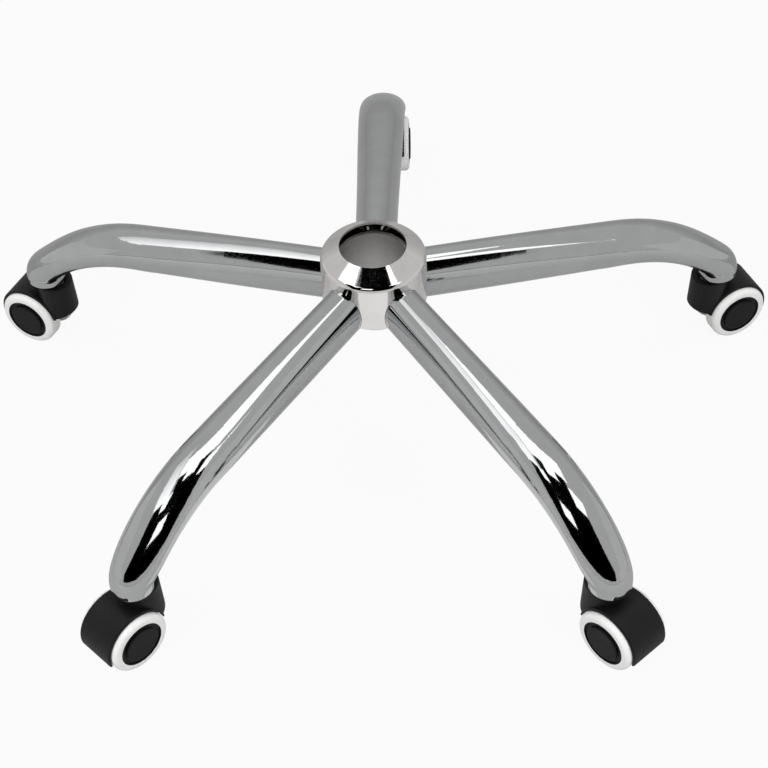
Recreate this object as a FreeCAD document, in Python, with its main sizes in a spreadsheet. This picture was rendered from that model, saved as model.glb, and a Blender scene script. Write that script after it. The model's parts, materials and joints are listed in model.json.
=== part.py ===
import FreeCAD, Part
import os
from math import atan2, cos, radians, sin, tan

import Sketcher

# Five star base of an office chair: five bent steel tubes welded to a gas lift
# socket under a domed shell, each standing on a swivelling twin wheel caster.
# Millimetres and degrees. The gas lift axis is Z, and the tubes' centre lines
# meet at the origin. Every driving dimension is written once, in this table.
SIZES = [
    ("bore_radius", 25.0, "bore that holds the gas lift"),
    ("socket_wall", 4.0, "wall of the gas lift socket"),
    ("socket_top", 25.5, "top of the socket above the origin"),
    ("socket_bottom", 28.0, "bottom of the socket below the origin"),
    ("socket_chamfer", 1.2, "chamfer at both ends of the socket"),
    ("opening_radius", 26.0, "round opening in the top of the shell"),
    ("shell_radius", 41.0, "outside of the shell's skirt"),
    ("shell_wall", 2.0, "wall of the pressed shell"),
    ("shell_rim", 36.0, "height of the shell's opening"),
    ("shell_shoulder", 26.0, "height where the dome turns into the skirt"),
    ("shell_skirt", 14.5, "depth of the skirt below the origin"),
    ("shoulder_round", 5.0, "rounding between dome and skirt"),
    ("weld_gap", 0.15, "clearance between welded pieces"),
    ("leg_slope", 5.95, "fall of the tube's straight run, degrees"),
    ("bend_start", 205.0, "distance from the axis where the bend starts"),
    ("bend_radius", 134.0, "radius of the bend on the centre line"),
    ("toe_angle", 40.0, "fall of the tube at the end of the bend, degrees"),
    ("toe_reach", 16.8, "from the end of the bend out to the rim's centre"),
    ("toe_drop", 25.7, "from the end of the bend down to the rim"),
    ("toe_straight", 6.0, "upright length above the rim"),
    ("leg_wall", 2.0, "wall of the leg tube"),
    ("root_width", 31.8, "tube width at the hub"),
    ("root_height", 43.8, "tube height at the hub"),
    ("mid_width", 34.6, "tube width half way along the straight run"),
    ("mid_height", 42.4, "tube height half way along the straight run"),
    ("bend_width", 38.8, "tube width in the bend"),
    ("bend_height", 34.9, "tube height in the bend"),
    ("knee_width", 39.4, "tube width at the end of the bend"),
    ("knee_height", 27.0, "tube height at the end of the bend"),
    ("rim_radius", 16.3, "outside of the round rim at the tube's end"),
    ("plate_thickness", 3.0, "plate that closes the tube's end"),
    ("plate_inset", 0.6, "plate above the rim's edge"),
    ("stem_inset", 6.0, "caster stem inboard of the rim's centre"),
    ("sleeve_radius", 7.2, "outside of the caster socket"),
    ("sleeve_drop", 5.0, "caster socket below the rim"),
    ("sleeve_length", 24.0, "length of the caster socket"),
    ("stem_radius", 5.5, "caster stem"),
    ("stem_length", 22.0, "stem above its collar"),
    ("stem_root", 9.0, "stem below its collar, pressed into the hood"),
    ("stem_chamfer", 1.0, "chamfer at the top of the stem"),
    ("collar_radius", 8.0, "collar on the stem"),
    ("collar_thickness", 3.0, "thickness of the stem's collar"),
    ("swivel_gap", 0.3, "between the collar and the caster socket"),
    ("running_gap", 0.05, "radial clearance of a running fit"),
    ("press_gap", 0.01, "radial clearance of a pressed fit"),
    ("ring_height", 3.0, "height of the grip ring"),
    ("ring_thickness", 0.7, "radial thickness of the grip ring"),
    ("ring_drop", 5.0, "grip ring below the top of the stem"),
    ("groove_gap", 0.3, "clearance round the grip ring in its groove"),
    ("trail", 20.0, "axle behind the caster stem"),
    ("hood_height", 38.0, "top of the hood above the axle"),
    ("fender_gap", 0.8, "between the tyre and the fender of the hood"),
    ("hood_wall", 1.7, "wall of the fender"),
    ("hood_width", 34.0, "width of the hood along the axle"),
    ("hood_round", 1.5, "rounding of the fender's side edges"),
    ("hood_tilt", 13.0, "slope of the hood's lower edge, degrees"),
    ("post_radius", 15.0, "top of the hood's round post about the stem"),
    ("post_foot", 16.4, "foot of that post"),
    ("post_round", 1.5, "rounding of the post's top edge"),
    ("dish_radius", 10.0, "dish in the post's top"),
    ("dish_depth", 6.0, "depth of that dish, which takes the end of the caster socket"),
    ("web_thickness", 14.0, "middle wall of the hood between the wheels"),
    ("axle_radius", 4.0, "wheel axle"),
    ("axle_length", 33.0, "length of the axle"),
    ("axle_chamfer", 0.6, "chamfer at the axle's ends"),
    ("boss_radius", 8.0, "boss of the hood round the axle"),
    ("wheel_radius", 25.0, "outside of the tyre"),
    ("wheel_gap", 0.4, "between a wheel and the hood's middle wall"),
    ("wheel_face", 21.0, "outer face of the tyre from the caster's middle"),
    ("tread_round", 4.0, "rounding of the tyre's outer edge"),
    ("inner_round", 1.5, "rounding of the tyre's inner edge"),
    ("core_radius", 18.5, "outside of the wheel core, inside of the tyre"),
    ("core_rim", 3.5, "thickness of the core's rim"),
    ("core_hub", 7.5, "outside of the core's hub"),
    ("axle_end_gap", 0.5, "between the axle's end and the bottom of the core's bore"),
    ("disc_thickness", 3.0, "thickness of the core's outer disc"),
    ("disc_edge", 1.0, "flat edge of the disc inside the tyre"),
    ("disc_groove", 0.8, "depth of the ring groove in the disc"),
    ("disc_radius", 14.5, "raised middle of the disc"),
    ("disc_crown", 1.2, "height of that middle above the tyre's face"),
    ("disc_round", 1.0, "rounding of that middle's edge"),
]

# The five legs, counted round from the back one, and how far each caster stands
# turned about its stem, in degrees.
LEG_COUNT = 5
FIRST_LEG_ANGLE = 90.0
CASTER_TURNS = [0.0, -8.0, -8.0, 8.0, 8.0]

doc = FreeCAD.newDocument("five_star_base")
sheet = doc.addObject("Spreadsheet::Sheet", "sizes")
for row, (alias, number, meaning) in enumerate(SIZES, 1):
    sheet.set(f"A{row}", meaning)
    sheet.set(f"B{row}", str(number))
    sheet.setAlias(f"B{row}", alias)
doc.recompute()


class Size:
    """A length that knows its value and the sheet expression that gives it."""

    def __init__(self, text, value):
        self.text = text
        self.value = value

    def combine(self, sign, other, value):
        text = other.text if isinstance(other, Size) else str(other)
        return Size(f"({self.text} {sign} {text})", value)

    def __add__(self, other):
        return self.combine("+", other, self.value + plain(other))

    def __sub__(self, other):
        return self.combine("-", other, self.value - plain(other))

    def __mul__(self, other):
        return self.combine("*", other, self.value * plain(other))

    def __truediv__(self, other):
        return self.combine("/", other, self.value / plain(other))

    def __neg__(self):
        return Size(f"(-{self.text})", -self.value)


def plain(number):
    return number.value if isinstance(number, Size) else number


class Sizes:
    """The sheet's cells by name."""

    def __getattr__(self, alias):
        return Size(f"sizes.{alias}", float(sheet.get(alias)))


d = Sizes()
AXIS = None


# Sketches and solids of revolution

def origin_plane(body, role):
    return [plane for plane in body.Origin.OriginFeatures if plane.Role == role][0]


def new_sketch(body, role, name):
    sketch = body.newObject("Sketcher::SketchObject", name)
    sketch.AttachmentSupport = [(origin_plane(body, role), "")]
    sketch.MapMode = "FlatFace"
    return sketch


def draw_outline(sketch, outline):
    """Closed outline through corners that are bound to the sheet; AXIS puts one on Z."""
    corners = [FreeCAD.Vector(0 if x is AXIS else x.value, z.value, 0) for x, z in outline]
    count = len(corners)
    for i in range(count):
        sketch.addGeometry(Part.LineSegment(corners[i], corners[(i + 1) % count]), False)
    for i in range(count):
        sketch.addConstraint(Sketcher.Constraint("Coincident", i, 2, (i + 1) % count, 1))
    for i, (x, z) in enumerate(outline):
        if x is AXIS:
            sketch.addConstraint(Sketcher.Constraint("PointOnObject", i, 1, -2))
        else:
            bind_distance(sketch, "DistanceX", i, x)
        bind_distance(sketch, "DistanceY", i, z)


def bind_distance(sketch, kind, corner, size):
    index = sketch.addConstraint(Sketcher.Constraint(kind, -1, 1, corner, 1, size.value))
    sketch.setExpression(f"Constraints[{index}]", size.text)


def turned(name, outline):
    """Body turned about Z from an outline of (radius, height) corners."""
    body = doc.addObject("PartDesign::Body", name)
    sketch = new_sketch(body, "XZ_Plane", name + "_profile")
    draw_outline(sketch, outline)
    turn = body.newObject("PartDesign::Revolution", name + "_turn")
    turn.Profile = sketch
    turn.ReferenceAxis = (sketch, ["V_Axis"])
    turn.Angle = 360
    body.Tip = turn
    doc.recompute()
    return body


def circle_edges(shape, radius, height):
    """Names of the circular edges of that radius about Z at that height."""
    names = []
    for i, edge in enumerate(shape.Edges, 1):
        if not isinstance(edge.Curve, Part.Circle):
            continue
        same_radius = abs(edge.Curve.Radius - radius.value) < 1e-6
        if same_radius and abs(edge.Curve.Center.z - height.value) < 1e-6:
            names.append(f"Edge{i}")
    return names


def dress_edge(body, kind, size, corners):
    """Fillet or chamfer of the circular edges at the (radius, height) corners."""
    base = body.Tip
    names = []
    for radius, height in corners:
        names += circle_edges(base.Shape, radius, height)
    dress = body.newObject("PartDesign::" + kind, body.Name + "_" + kind.lower())
    dress.Base = (base, names)
    dress.setExpression("Radius" if kind == "Fillet" else "Size", size.text)
    body.Tip = dress
    doc.recompute()


# Primitives and booleans

def bound(kind, name, **sizes):
    """Part primitive with its sizes bound to the sheet."""
    solid = doc.addObject("Part::" + kind, name)
    for key, size in sizes.items():
        solid.setExpression(key, size.text)
    return solid


def bind_base(solid, **places):
    for axis, size in places.items():
        solid.setExpression("Placement.Base." + axis, size.text)


def joined(name, solids):
    fuse = doc.addObject("Part::MultiFuse", name)
    fuse.Shapes = solids
    fuse.Refine = False
    return fuse


def cut_from(name, base, tools):
    """The base with every tool taken out of it, one after the other."""
    result = base
    for i, tool in enumerate(tools, 1):
        cut = doc.addObject("Part::Cut", name if i == len(tools) else f"{name}_cut_{i}")
        cut.Base = result
        cut.Tool = tool
        cut.Refine = False
        result = cut
    return result


SUB_PARTS = []


def sub_part(label, masters, placement):
    """Named piece: the master solids, set in their place."""
    piece = doc.addObject("Part::Compound", label)
    piece.Label = label
    piece.Links = masters
    piece.Placement = placement
    SUB_PARTS.append(piece)


def feature(label, shape):
    """Piece or tool whose form is lofted through sections."""
    solid = doc.addObject("Part::Feature", label)
    solid.Shape = shape
    return solid


def about_z(angle):
    return FreeCAD.Placement(FreeCAD.Vector(), FreeCAD.Rotation(FreeCAD.Vector(0, 0, 1), angle))


def shifted(x, y, z):
    return FreeCAD.Placement(FreeCAD.Vector(x, y, z), FreeCAD.Rotation())


def about_x(angle):
    return FreeCAD.Placement(FreeCAD.Vector(), FreeCAD.Rotation(FreeCAD.Vector(1, 0, 0), angle))


HOME = FreeCAD.Placement()
LEG_ANGLES = [FIRST_LEG_ANGLE + i * 360.0 / LEG_COUNT for i in range(LEG_COUNT)]


# Leg tube: its centre line falls gently from the hub, bends down and ends in an
# upright round rim

STRAIGHT_STEPS = 9
BEND_STEPS = 5
TOE_STEPS = 4


def blend(start, end, share):
    return start + (end - start) * share


def smooth(knots, place):
    """Value at a place on the smooth curve through (place, value) knots."""
    last = len(knots) - 1
    i = max(k for k in range(last) if k == 0 or knots[k][0] <= place)
    slopes = []
    for k in (i, i + 1):
        (x0, y0), (x1, y1) = knots[max(k - 1, 0)], knots[min(k + 1, last)]
        slopes.append((y1 - y0) / (x1 - x0))
    (x0, y0), (x1, y1) = knots[i], knots[i + 1]
    span = x1 - x0
    t = (place - x0) / span
    rise = y0 + (y1 - y0) * t * t * (3 - 2 * t)
    return rise + span * t * (1 - t) * (slopes[0] * (1 - t) - slopes[1] * t)


def leg_path(start):
    """Points down the centre line: step count, distance from the axis, height and fall."""
    slope = radians(d.leg_slope.value)
    toe = radians(d.toe_angle.value)
    straight = d.bend_start.value
    path = []
    for i in range(STRAIGHT_STEPS):
        r = blend(start, straight, i / STRAIGHT_STEPS)
        path.append((r, -r * tan(slope), slope))
    for i in range(BEND_STEPS + 1):
        fall = blend(slope, toe, i / BEND_STEPS)
        r = straight + d.bend_radius.value * (sin(fall) - sin(slope))
        z = d.bend_radius.value * (cos(fall) - cos(slope)) - straight * tan(slope)
        path.append((r, z, fall))
    knee_r, knee_z, fall = path[-1]
    rim_r = knee_r + d.toe_reach.value
    rim_z = knee_z - d.toe_drop.value
    upright_z = rim_z + d.toe_straight.value
    corner_z = knee_z - d.toe_reach.value * tan(toe)
    for i in range(1, TOE_STEPS + 1):
        t = i / TOE_STEPS
        r = blend(blend(knee_r, rim_r, t), rim_r, t)
        z = blend(blend(knee_z, corner_z, t), blend(corner_z, upright_z, t), t)
        run = (rim_r - knee_r) * (1 - t)
        drop = blend(knee_z - corner_z, corner_z - upright_z, t)
        path.append((r, z, atan2(drop, run)))
    path.append((rim_r, rim_z, radians(90)))
    return path


def leg_stations(start):
    """Sections down the tube: distance from the axis, height, fall, width and height."""
    bend = STRAIGHT_STEPS
    knee = STRAIGHT_STEPS + BEND_STEPS
    upright = knee + TOE_STEPS
    rim = 2 * d.rim_radius.value
    widths = [(0, d.root_width.value), (bend / 2, d.mid_width.value), (bend, d.bend_width.value),
              (knee, d.knee_width.value), (upright, rim), (upright + 1, rim)]
    heights = [(0, d.root_height.value), (bend / 2, d.mid_height.value), (bend, d.bend_height.value),
               (knee, d.knee_height.value), (upright, rim), (upright + 1, rim)]
    stations = []
    for step, (r, z, fall) in enumerate(leg_path(start)):
        stations.append((r, z, fall, smooth(widths, step), smooth(heights, step)))
    return stations


def leg_section(station, growth):
    """Elliptical wire across the tube, grown all round."""
    r, z, fall, width, height = station
    across = width / 2 + growth
    upward = height / 2 + growth
    matrix = FreeCAD.Matrix(
        0, sin(fall) * upward, cos(fall), r,
        across, 0, 0, 0,
        0, cos(fall) * upward, -sin(fall), z,
        0, 0, 0, 1)
    return Part.Wire(Part.makeCircle(1.0).transformGeometry(matrix).Edges)


ROOT = d.bore_radius.value / 2
SOCKET_RADIUS = d.bore_radius + d.socket_wall
SEAM = 1e-4


def leg_tube():
    """Hollow tube: an outer and an inner skin through the sections and a ring face at each end."""
    outer = [leg_section(station, 0.0) for station in leg_stations(ROOT)]
    inner = [leg_section(station, -d.leg_wall.value) for station in leg_stations(ROOT)]
    bend = STRAIGHT_STEPS - 1
    faces = Part.makeLoft(outer[:bend + 1], False, True).Faces
    faces += Part.makeLoft(outer[bend:], False, False).Faces
    faces += Part.makeLoft(inner, False, True).Faces
    faces += [Part.Face([outer[end], inner[end]]) for end in (0, -1)]
    skin = Part.Shell(faces)
    skin.sewShape()
    tube = Part.Solid(skin)
    tube.fix(SEAM, SEAM, SEAM)
    reach = 2 * d.shell_radius.value
    hub_radius = SOCKET_RADIUS.value + d.weld_gap.value
    hub = Part.makeCylinder(hub_radius, 2 * reach, FreeCAD.Vector(0, 0, -reach))
    return tube.cut(hub)


RIM_R, RIM_Z = leg_stations(ROOT)[-1][:2]
leg = feature("leg_tube", leg_tube())
for number, angle in enumerate(LEG_ANGLES, 1):
    sub_part(f"leg_{number}", [leg], about_z(angle))


# Gas lift socket: a plain tube with chamfered ends

socket_ends = (d.socket_top, -d.socket_bottom)
socket = turned("socket_tube", [
    (d.bore_radius, -d.socket_bottom),
    (SOCKET_RADIUS, -d.socket_bottom),
    (SOCKET_RADIUS, d.socket_top),
    (d.bore_radius, d.socket_top),
])
dress_edge(socket, "Chamfer", d.socket_chamfer, [(SOCKET_RADIUS, end) for end in socket_ends])
sub_part("gas_lift_socket", [socket], HOME)


# Hub shell: a pressed dome and skirt, cut out where the legs pass through

shell_inner = d.shell_radius - d.shell_wall
dome = turned("shell_dome", [
    (shell_inner, -d.shell_skirt),
    (d.shell_radius, -d.shell_skirt),
    (d.shell_radius, d.shell_shoulder),
    (d.opening_radius, d.shell_rim),
    (d.opening_radius, d.shell_rim - d.shell_wall),
    (shell_inner, d.shell_shoulder - d.shell_wall),
])
dress_edge(dome, "Fillet", d.shoulder_round, [(d.shell_radius, d.shell_shoulder)])
near_hub = [station for station in leg_stations(ROOT) if station[0] < 2 * d.shell_radius.value]
passage_sections = [leg_section(station, d.weld_gap.value) for station in near_hub]
passage = feature("leg_passage", Part.makeLoft(passage_sections, True, False))
passage_copies = []
for angle in LEG_ANGLES:
    copy = doc.addObject("Part::Compound", "passage")
    copy.Links = [passage]
    copy.Placement = about_z(angle)
    passage_copies.append(copy)
shell = cut_from("shell_pressing", dome, passage_copies)
sub_part("hub_shell", [shell], HOME)


# Leg ends: a plate closes each tube and carries an upright socket for the caster

STEM_R = RIM_R - d.stem_inset.value


def at_leg(angle, r, z):
    return about_z(angle).multiply(shifted(r, 0, z))


def plate_solid():
    disc_radius = d.rim_radius - d.leg_wall - d.weld_gap
    disc = bound("Cylinder", "plate_disc", Radius=disc_radius, Height=d.plate_thickness)
    hole_radius = d.sleeve_radius + d.weld_gap
    hole = bound("Cylinder", "plate_hole", Radius=hole_radius, Height=d.plate_thickness)
    bind_base(hole, x=-d.stem_inset)
    return cut_from("end_plate", disc, [hole])


def sleeve_solid():
    bore = d.stem_radius + d.running_gap
    return turned("caster_sleeve", [
        (bore, -d.sleeve_drop),
        (d.sleeve_radius, -d.sleeve_drop),
        (d.sleeve_radius, d.sleeve_length - d.sleeve_drop),
        (bore, d.sleeve_length - d.sleeve_drop),
    ])


plate = plate_solid()
sleeve = sleeve_solid()
for number, angle in enumerate(LEG_ANGLES, 1):
    plate_z = RIM_Z + d.plate_inset.value
    sub_part(f"leg_end_plate_{number}", [plate], at_leg(angle, RIM_R, plate_z))
    sub_part(f"caster_socket_{number}", [sleeve], at_leg(angle, STEM_R, RIM_Z))


# Caster: heights are counted from the axle, the stem stands on Z and the wheels
# trail along X

collar_top = d.hood_height - d.dish_depth + d.collar_thickness
stem_top = collar_top + d.stem_length
AXLE_Z = RIM_Z - d.sleeve_drop.value - d.swivel_gap.value - collar_top.value
half_web = d.web_thickness / 2
half_width = d.hood_width / 2
fender_inside = d.wheel_radius + d.fender_gap
hood_radius = fender_inside + d.hood_wall


def stem_solid():
    ring_top = stem_top - d.ring_drop + d.groove_gap
    ring_bottom = stem_top - d.ring_drop - d.ring_height - d.groove_gap
    groove = d.stem_radius + d.running_gap - d.ring_thickness - d.groove_gap
    dish = d.hood_height - d.dish_depth
    stem = turned("caster_stem", [
        (AXIS, dish - d.stem_root),
        (d.stem_radius, dish - d.stem_root),
        (d.stem_radius, dish),
        (d.collar_radius, dish),
        (d.collar_radius, collar_top),
        (d.stem_radius, collar_top),
        (d.stem_radius, ring_bottom),
        (groove, ring_bottom),
        (groove, ring_top),
        (d.stem_radius, ring_top),
        (d.stem_radius, stem_top),
        (AXIS, stem_top),
    ])
    dress_edge(stem, "Chamfer", d.stem_chamfer, [(d.stem_radius, stem_top)])
    return stem


def grip_ring_solid():
    outer = d.stem_radius + d.running_gap - d.press_gap
    inner = outer - d.ring_thickness
    top = stem_top - d.ring_drop
    return turned("grip_ring", [
        (inner, top - d.ring_height),
        (outer, top - d.ring_height),
        (outer, top),
        (inner, top),
    ])


def lying(solid, x):
    """Turn a solid from standing on Z to lying along Y, at a distance along X."""
    solid.Placement = about_x(-90)
    bind_base(solid, x=x)
    return solid


def across(name, radius, width, start):
    """Round bar along Y about the axle."""
    bar = bound("Cylinder", name, Radius=radius, Height=width)
    lying(bar, d.trail)
    bind_base(bar, y=start)
    return bar


def hood_solid():
    fender = turned("hood_fender", [
        (AXIS, -half_width),
        (hood_radius, -half_width),
        (hood_radius, half_width),
        (AXIS, half_width),
    ])
    sides = [(hood_radius, -half_width), (hood_radius, half_width)]
    dress_edge(fender, "Fillet", d.hood_round, sides)
    lying(fender, d.trail)

    post = turned("hood_post", [
        (AXIS, -d.post_foot / 2),
        (d.post_foot, -d.post_foot / 2),
        (d.post_foot, d.hood_height / 4),
        (d.post_radius, d.hood_height),
        (d.dish_radius, d.hood_height),
        (d.dish_radius, d.hood_height - d.dish_depth),
        (AXIS, d.hood_height - d.dish_depth),
    ])
    dress_edge(post, "Fillet", d.post_round, [(d.post_radius, d.hood_height)])
    outside = joined("hood_outside", [fender, post])

    size = hood_radius * 4
    below = bound("Box", "hood_below", Length=size, Width=size, Height=size)
    tilt = FreeCAD.Rotation(FreeCAD.Vector(0, 1, 0), d.hood_tilt.value)
    corner = tilt.multVec(FreeCAD.Vector(-size.value / 2, -size.value / 2, -size.value))
    corner.x += d.trail.value
    below.Placement = FreeCAD.Placement(corner, tilt)

    left = across("hood_left_wheel_space", fender_inside, d.hood_width, half_web)
    right = across("hood_right_wheel_space", fender_inside, d.hood_width, -half_web - d.hood_width)
    shell_half = cut_from("hood_shell", outside, [below, left, right])

    boss = across("hood_axle_boss", d.boss_radius, d.web_thickness, -half_web)
    body = joined("hood_body", [shell_half, boss])
    axle_hole = across("hood_axle_hole", d.axle_radius + d.press_gap, d.hood_width, -half_width)
    stem_hole = bound("Cylinder", "hood_stem_hole",
                      Radius=d.stem_radius + d.press_gap, Height=d.hood_height)
    bind_base(stem_hole, z=d.hood_height - d.dish_depth - d.stem_root)
    return cut_from("caster_hood", body, [axle_hole, stem_hole])


def axle_solid():
    half = d.axle_length / 2
    axle = turned("caster_axle", [
        (AXIS, -half),
        (d.axle_radius, -half),
        (d.axle_radius, half),
        (AXIS, half),
    ])
    ends = [(d.axle_radius, -half), (d.axle_radius, half)]
    dress_edge(axle, "Chamfer", d.axle_chamfer, ends)
    return axle


# Wheel: turned about its axle, with heights counted outward from the caster's middle

wheel_inner = half_web + d.wheel_gap


def core_solid():
    bore = d.axle_radius + d.running_gap
    bore_end = d.axle_length / 2 + d.axle_end_gap
    rim = d.core_radius - d.core_rim
    edge = d.core_radius - d.disc_edge
    back = d.wheel_face - d.disc_thickness
    floor = d.wheel_face - d.disc_groove
    crown = d.wheel_face + d.disc_crown
    core = turned("wheel_core", [
        (AXIS, bore_end),
        (bore, bore_end),
        (bore, wheel_inner),
        (d.core_hub, wheel_inner),
        (d.core_hub, back),
        (rim, back),
        (rim, wheel_inner),
        (d.core_radius, wheel_inner),
        (d.core_radius, d.wheel_face),
        (edge, d.wheel_face),
        (edge, floor),
        (d.disc_radius, floor),
        (d.disc_radius, crown),
        (AXIS, crown),
    ])
    dress_edge(core, "Fillet", d.disc_round, [(d.disc_radius, crown)])
    return core


def tyre_solid():
    tyre = turned("wheel_tyre", [
        (d.core_radius, wheel_inner),
        (d.wheel_radius, wheel_inner),
        (d.wheel_radius, d.wheel_face),
        (d.core_radius, d.wheel_face),
    ])
    dress_edge(tyre, "Fillet", d.tread_round, [(d.wheel_radius, d.wheel_face)])
    dress_edge(tyre, "Fillet", d.inner_round, [(d.wheel_radius, wheel_inner)])
    return tyre


stem = stem_solid()
ring = grip_ring_solid()
hood = hood_solid()
axle = axle_solid()
core = core_solid()
tyre = tyre_solid()

SIDES = [("left", -90), ("right", 90)]
for number, (angle, turn) in enumerate(zip(LEG_ANGLES, CASTER_TURNS), 1):
    caster = at_leg(angle, STEM_R, AXLE_Z).multiply(about_z(turn))
    sub_part(f"grip_ring_{number}", [ring], caster)
    sub_part(f"caster_stem_{number}", [stem], caster)
    sub_part(f"caster_hood_{number}", [hood], caster)
    hub = caster.multiply(shifted(d.trail.value, 0, 0))
    sub_part(f"axle_{number}", [axle], hub.multiply(about_x(-90)))
    for side, quarter in SIDES:
        wheel = hub.multiply(about_x(quarter))
        sub_part(f"wheel_core_{number}_{side}", [core], wheel)
        sub_part(f"tyre_{number}_{side}", [tyre], wheel)


# Check every object, then write the pieces

doc.recompute()
for item in doc.Objects:
    if "Invalid" in item.State or "Error" in item.State:
        raise RuntimeError(f"{item.Name} failed: {item.State}")
for piece in SUB_PARTS:
    if piece.Shape.isNull() or not piece.Shape.isValid():
        raise RuntimeError(f"{piece.Label} has no valid shape")

os.makedirs("parts", exist_ok=True)
for piece in SUB_PARTS:
    piece.Shape.exportStep(f"parts/{piece.Label}.step")
print(len(SUB_PARTS), "pieces, stem circle", round(STEM_R, 2), "axle height", round(AXLE_Z, 2))
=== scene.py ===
import json
from math import cos, radians, sin

import bpy
from mathutils import Matrix, Vector


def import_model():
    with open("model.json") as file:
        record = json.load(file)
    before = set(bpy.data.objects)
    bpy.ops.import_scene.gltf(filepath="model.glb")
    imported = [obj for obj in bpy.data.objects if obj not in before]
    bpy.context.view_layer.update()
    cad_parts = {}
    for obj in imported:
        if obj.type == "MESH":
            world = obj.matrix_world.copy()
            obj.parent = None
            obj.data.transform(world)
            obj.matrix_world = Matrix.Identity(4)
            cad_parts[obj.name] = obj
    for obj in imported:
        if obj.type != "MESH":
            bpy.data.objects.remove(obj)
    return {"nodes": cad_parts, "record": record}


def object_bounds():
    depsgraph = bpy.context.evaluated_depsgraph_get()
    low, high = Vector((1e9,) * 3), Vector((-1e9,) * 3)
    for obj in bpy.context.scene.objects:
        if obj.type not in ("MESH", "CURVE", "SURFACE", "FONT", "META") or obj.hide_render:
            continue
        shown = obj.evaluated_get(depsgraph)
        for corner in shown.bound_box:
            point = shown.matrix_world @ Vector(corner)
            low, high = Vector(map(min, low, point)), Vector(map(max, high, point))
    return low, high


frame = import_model()
cad_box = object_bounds()
scene = bpy.context.scene
scene.view_settings.view_transform = "Standard"


# Node helpers

# The range that most of a noise texture's values lie in
NOISE_LOW, NOISE_HIGH = 0.3, 0.7


def new_material(name):
    material = bpy.data.materials.new(name)
    material.use_nodes = True
    nodes = material.node_tree.nodes
    return material, nodes, material.node_tree.links, nodes["Principled BSDF"]


def coordinates(nodes):
    return nodes.new("ShaderNodeTexCoord").outputs["Object"]


def noise(nodes, links, scale, detail, roughness=0.5):
    texture = nodes.new("ShaderNodeTexNoise")
    texture.inputs["Scale"].default_value = scale
    texture.inputs["Detail"].default_value = detail
    texture.inputs["Roughness"].default_value = roughness
    links.new(coordinates(nodes), texture.inputs["Vector"])
    return texture.outputs["Fac"]


def span(nodes, links, value, low, high, start=NOISE_LOW, end=NOISE_HIGH):
    """Map values from start to end onto values from low to high."""
    mapper = nodes.new("ShaderNodeMapRange")
    mapper.inputs["From Min"].default_value = start
    mapper.inputs["From Max"].default_value = end
    mapper.inputs["To Min"].default_value = low
    mapper.inputs["To Max"].default_value = high
    links.new(value, mapper.inputs["Value"])
    return mapper.outputs["Result"]


def tint(nodes, links, value, dark, light):
    """Colour a noise texture from dark to light."""
    ramp = nodes.new("ShaderNodeValToRGB")
    ramp.color_ramp.elements[0].position = NOISE_LOW
    ramp.color_ramp.elements[0].color = (*dark, 1)
    ramp.color_ramp.elements[1].position = NOISE_HIGH
    ramp.color_ramp.elements[1].color = (*light, 1)
    links.new(value, ramp.inputs["Fac"])
    return ramp.outputs["Color"]


def bump(nodes, links, value, shader, strength, depth):
    node = nodes.new("ShaderNodeBump")
    node.inputs["Strength"].default_value = strength
    node.inputs["Distance"].default_value = depth
    links.new(value, node.inputs["Height"])
    links.new(node.outputs["Normal"], shader.inputs["Normal"])


# Materials

def chrome(name, dark, light):
    """Polished plating: a slight waviness, faint haze and fine dust in the gloss."""
    material, nodes, links, shader = new_material(name)
    shader.inputs["Metallic"].default_value = 1.0
    haze = noise(nodes, links, scale=60, detail=4)
    links.new(tint(nodes, links, haze, dark, light), shader.inputs["Base Color"])
    dust = noise(nodes, links, scale=420, detail=6, roughness=0.7)
    links.new(span(nodes, links, dust, low=0.03, high=0.09), shader.inputs["Roughness"])
    waves = noise(nodes, links, scale=26, detail=2)
    bump(nodes, links, waves, shader, strength=0.12, depth=0.0006)
    return material


def turned_steel():
    """Bare tube steel with fine marks round its bore."""
    material, nodes, links, shader = new_material("turned_steel")
    shader.inputs["Metallic"].default_value = 1.0
    grain = noise(nodes, links, scale=160, detail=5)
    colour = tint(nodes, links, grain, dark=(0.50, 0.49, 0.48), light=(0.60, 0.59, 0.58))
    links.new(colour, shader.inputs["Base Color"])
    links.new(span(nodes, links, grain, low=0.36, high=0.50), shader.inputs["Roughness"])
    rings = nodes.new("ShaderNodeTexWave")
    rings.bands_direction = "Z"
    rings.inputs["Scale"].default_value = 260
    rings.inputs["Distortion"].default_value = 1.5
    links.new(coordinates(nodes), rings.inputs["Vector"])
    bump(nodes, links, rings.outputs["Fac"], shader, strength=0.15, depth=0.0002)
    return material


def bright_steel():
    """Zinc plated caster steel."""
    material, nodes, links, shader = new_material("zinc_steel")
    shader.inputs["Metallic"].default_value = 1.0
    grain = noise(nodes, links, scale=220, detail=5)
    colour = tint(nodes, links, grain, dark=(0.58, 0.58, 0.57), light=(0.68, 0.68, 0.67))
    links.new(colour, shader.inputs["Base Color"])
    links.new(span(nodes, links, grain, low=0.18, high=0.32), shader.inputs["Roughness"])
    bump(nodes, links, grain, shader, strength=0.08, depth=0.0002)
    return material


def nylon(name, dark, light, shine, grain_scale, smooth, rough):
    """Black moulded nylon with a fine spark eroded grain."""
    material, nodes, links, shader = new_material(name)
    shader.inputs["Specular IOR Level"].default_value = shine
    patches = noise(nodes, links, scale=45, detail=3)
    links.new(tint(nodes, links, patches, dark, light), shader.inputs["Base Color"])
    grain = noise(nodes, links, grain_scale, detail=3, roughness=0.6)
    links.new(span(nodes, links, grain, smooth, rough), shader.inputs["Roughness"])
    bump(nodes, links, grain, shader, strength=0.25, depth=0.0002)
    return material


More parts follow.
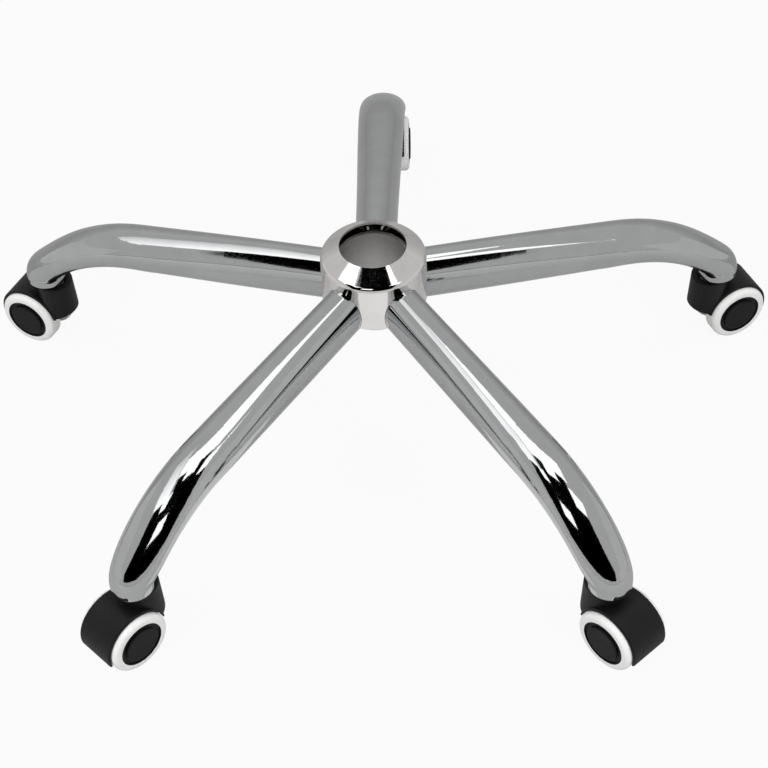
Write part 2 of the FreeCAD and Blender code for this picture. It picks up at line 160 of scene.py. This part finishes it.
def pale_tyre():
    """Soft polyurethane tread with faint scuffs."""
    material, nodes, links, shader = new_material("pale_polyurethane")
    scuffs = noise(nodes, links, scale=70, detail=5, roughness=0.6)
    colour = tint(nodes, links, scuffs, dark=(0.80, 0.80, 0.79), light=(0.86, 0.86, 0.85))
    links.new(colour, shader.inputs["Base Color"])
    grain = noise(nodes, links, scale=900, detail=3)
    links.new(span(nodes, links, grain, low=0.38, high=0.52), shader.inputs["Roughness"])
    bump(nodes, links, grain, shader, strength=0.12, depth=0.0001)
    return material


MATERIALS = {
    "chrome": chrome("leg_chrome", dark=(0.54, 0.545, 0.55), light=(0.58, 0.585, 0.59)),
    "socket_steel": turned_steel(),
    "bright_steel": bright_steel(),
    "hood_nylon": nylon(
        "hood_nylon", dark=(0.004, 0.004, 0.0047), light=(0.007, 0.007, 0.008),
        shine=0.28, grain_scale=1100, smooth=0.42, rough=0.58,
    ),
    "core_nylon": nylon(
        "core_nylon", dark=(0.004, 0.004, 0.0043), light=(0.007, 0.007, 0.0073),
        shine=0.18, grain_scale=1400, smooth=0.40, rough=0.55,
    ),
    "tyre_pu": pale_tyre(),
}
# The hub gets a paler, warmer copy of the leg chrome: a painted highlight and painted warm
# reflection that brighten the dome
OWN_MATERIALS = {
    "hub_shell": chrome("hub_chrome_painted_bright", dark=(0.82, 0.80, 0.785), light=(0.88, 0.865, 0.85)),
}
for entry in frame["record"]["subparts"]:
    piece = frame["nodes"][entry["node"]]
    material = OWN_MATERIALS.get(entry["node"], MATERIALS[entry["material_slot"]])
    for slot in piece.material_slots:
        slot.material = material


# Stage: a pale floor in a grey studio, with cards that the chrome mirrors. They are bright boxes
# overhead, a dark ceiling above them, a dark wall with a window behind the camera, grey walls at
# the sides and the back, and two sheets that lie on the floor.

FLOOR_SIZE = 24
FLOOR_ALBEDO = 0.50
# Share of plain white in the floor as the camera and the reflections see it
FLOOR_SEEN = 0.93
FLOOR_MIRRORED = 0.10
STUDIO_GREY = 0.56
LAMP_HEIGHT = 2.0
CEILING_HEIGHT = LAMP_HEIGHT + 0.05
BOX_GLOW = 1.85
# The left box fades to this at its far edge
FADED_GLOW = 0.85
WINDOW_GLOW = 1.8
SIDE_GLOW = 0.63
FRONT_SHEET_GLOW = 0.8
BACK_SHEET_GLOW = 0.42
BACK_WALL_GLOW = 0.38, 0.60
DARK = 0.0
SHEET_GAP = 0.0005
FILL_SIZE = 0.9
FILL_POWER = 18


def floor():
    bottom = cad_box[0][2]
    bpy.ops.mesh.primitive_plane_add(size=FLOOR_SIZE, location=(0, 0, bottom))
    plane = bpy.context.object
    plane.name = "floor"
    material, nodes, links, shader = new_material("white_floor")
    shader.inputs["Base Color"].default_value = (FLOOR_ALBEDO, FLOOR_ALBEDO, FLOOR_ALBEDO, 1)
    shader.inputs["Roughness"].default_value = 0.9
    shader.inputs["Specular IOR Level"].default_value = 0.0
    glow = nodes.new("ShaderNodeEmission")
    glow.inputs["Color"].default_value = (1, 1, 1, 1)
    rays = nodes.new("ShaderNodeLightPath")
    seen = nodes.new("ShaderNodeMath")
    seen.operation = "MULTIPLY"
    seen.inputs[1].default_value = FLOOR_SEEN
    links.new(rays.outputs["Is Camera Ray"], seen.inputs[0])
    share = nodes.new("ShaderNodeMath")
    share.operation = "MULTIPLY_ADD"
    share.inputs[1].default_value = FLOOR_MIRRORED
    links.new(rays.outputs["Is Glossy Ray"], share.inputs[0])
    links.new(seen.outputs["Value"], share.inputs[2])
    mix = nodes.new("ShaderNodeMixShader")
    links.new(share.outputs["Value"], mix.inputs["Fac"])
    links.new(shader.outputs["BSDF"], mix.inputs[1])
    links.new(glow.outputs["Emission"], mix.inputs[2])
    links.new(mix.outputs["Shader"], nodes["Material Output"].inputs["Surface"])
    plane.data.materials.append(material)


def card(name, position, target, width, height, low, high=None):
    """Flat studio card, hidden from the camera. Its glow is low, or goes from low to high."""
    bpy.ops.mesh.primitive_plane_add(size=1, location=position)
    plane = bpy.context.object
    plane.name = name
    plane.scale = (width, height, 1)
    aim = Vector(target) - Vector(position)
    plane.rotation_euler = aim.to_track_quat("-Z", "Y").to_euler()
    material, nodes, links, shader = new_material(name)
    shader.inputs["Base Color"].default_value = (0, 0, 0, 1)
    shader.inputs["Specular IOR Level"].default_value = 0.0
    shader.inputs["Emission Color"].default_value = (1, 1, 1, 1)
    if high is None:
        shader.inputs["Emission Strength"].default_value = low
    else:
        place = nodes.new("ShaderNodeTexCoord")
        parts = nodes.new("ShaderNodeSeparateXYZ")
        links.new(place.outputs["Generated"], parts.inputs["Vector"])
        glow = span(nodes, links, parts.outputs["Y"], low, high, start=0.0, end=1.0)
        links.new(glow, shader.inputs["Emission Strength"])
    plane.data.materials.append(material)
    plane.visible_camera = False
    return plane


def level_card(name, corner, opposite, height, low, high=None):
    """Card that faces down, between two corners seen from above."""
    x, y = (corner[0] + opposite[0]) / 2, (corner[1] + opposite[1]) / 2
    width, length = opposite[0] - corner[0], opposite[1] - corner[1]
    return card(name, (x, y, height), (x, y, height - 1), width, length, low, high)


def world():
    scene.world = bpy.data.worlds.new("studio")
    scene.world.use_nodes = True
    background = scene.world.node_tree.nodes["Background"]
    background.inputs["Color"].default_value = (STUDIO_GREY, STUDIO_GREY, STUDIO_GREY, 1)


def fill_light(name, position):
    """Soft lamp that lights the plastic and stays out of the chrome."""
    lamp = bpy.data.lights.new(name, "AREA")
    lamp.shape = "DISK"
    lamp.size = FILL_SIZE
    lamp.energy = FILL_POWER
    lamp_object = bpy.data.objects.new(name, lamp)
    scene.collection.objects.link(lamp_object)
    lamp_object.location = position
    lamp_object.rotation_euler = (-Vector(position)).to_track_quat("-Z", "Y").to_euler()
    lamp_object.visible_glossy = False


def soft_boxes():
    for name, corner, opposite in (
        ("soft_box", (-0.855, -0.25), (0.995, 0.455)),
        ("front_soft_box", (-0.33, -0.61), (0.33, -0.25)),
        ("left_front_box", (-1.15, -1.10), (-0.70, -0.701)),
        ("right_front_box", (0.85, -0.95), (1.60, -0.40)),
    ):
        level_card(name, corner, opposite, LAMP_HEIGHT, BOX_GLOW)
    level_card("left_soft_box", (-1.875, -0.70), (-0.925, 1.00), LAMP_HEIGHT, BOX_GLOW, FADED_GLOW)


def dark_planes_and_sheets():
    """Planes that show in reflections only, and neither light the object nor shade it."""
    sheet_height = cad_box[0][2] + SHEET_GAP
    for plane in (
        level_card("dark_ceiling", (-0.80, -0.95), (0.90, -0.25), CEILING_HEIGHT, DARK),
        card("dark_wall", (-0.17, -1.64, 1.46), (-0.17, 0, 0), 3.85, 2.6, DARK),
        level_card("front_sheet", (-0.11, -0.28), (0.11, -0.12), sheet_height, FRONT_SHEET_GLOW),
        level_card("back_sheet", (-1.5, 0.12), (1.5, 2.60), sheet_height, BACK_SHEET_GLOW),
    ):
        plane.visible_diffuse = False
        plane.visible_shadow = False


def upright_cards():
    card("window", (-0.37, -1.43, 1.83), (-0.37, 0, 1.83), 0.62, 1.52, WINDOW_GLOW)
    for side in (-1, 1):
        card("side_wall", (side * 3.0, -0.2, 0.55), (0, -0.2, 0.55), 4.0, 1.7, SIDE_GLOW)
    card("back_wall", (0.0, 3.0, 1.2), (0, 0, 1.2), 9.0, 2.7, *BACK_WALL_GLOW)


floor()
world()
soft_boxes()
dark_planes_and_sheets()
upright_cards()
fill_light("fill_left", (-1.6, -1.5, 1.1))
fill_light("fill_right", (1.6, -1.5, 1.1))


# Camera: the photograph's, found from the legs, the hub and the wheels, with angles in degrees

ELEVATION = 43.21
DISTANCE = 1.57861
LENS = 95.167
SENSOR_WIDTH = 36
PAN, TILT, ROLL = 0.20, 46.17, -2.51
TURN = 3.16


def aim_camera():
    data = bpy.data.cameras.new("camera")
    data.lens = LENS
    data.sensor_width = SENSOR_WIDTH
    camera = bpy.data.objects.new("camera", data)
    scene.collection.objects.link(camera)
    rise = radians(ELEVATION)
    place = Vector((0, -cos(rise) * DISTANCE, sin(rise) * DISTANCE))
    pan, tilt, roll = radians(PAN), radians(TILT), radians(ROLL)
    ahead = Vector((sin(pan) * cos(tilt), cos(pan) * cos(tilt), -sin(tilt)))
    right = Vector((cos(pan), -sin(pan), 0))
    up = right.cross(ahead)
    right, up = right * cos(roll) + up * sin(roll), up * cos(roll) - right * sin(roll)
    axes = Matrix((right, up, -ahead)).transposed().to_4x4()
    turn = Matrix.Rotation(radians(TURN), 4, "Z")
    camera.matrix_world = turn @ Matrix.Translation(place) @ axes
    scene.camera = camera


aim_camera()
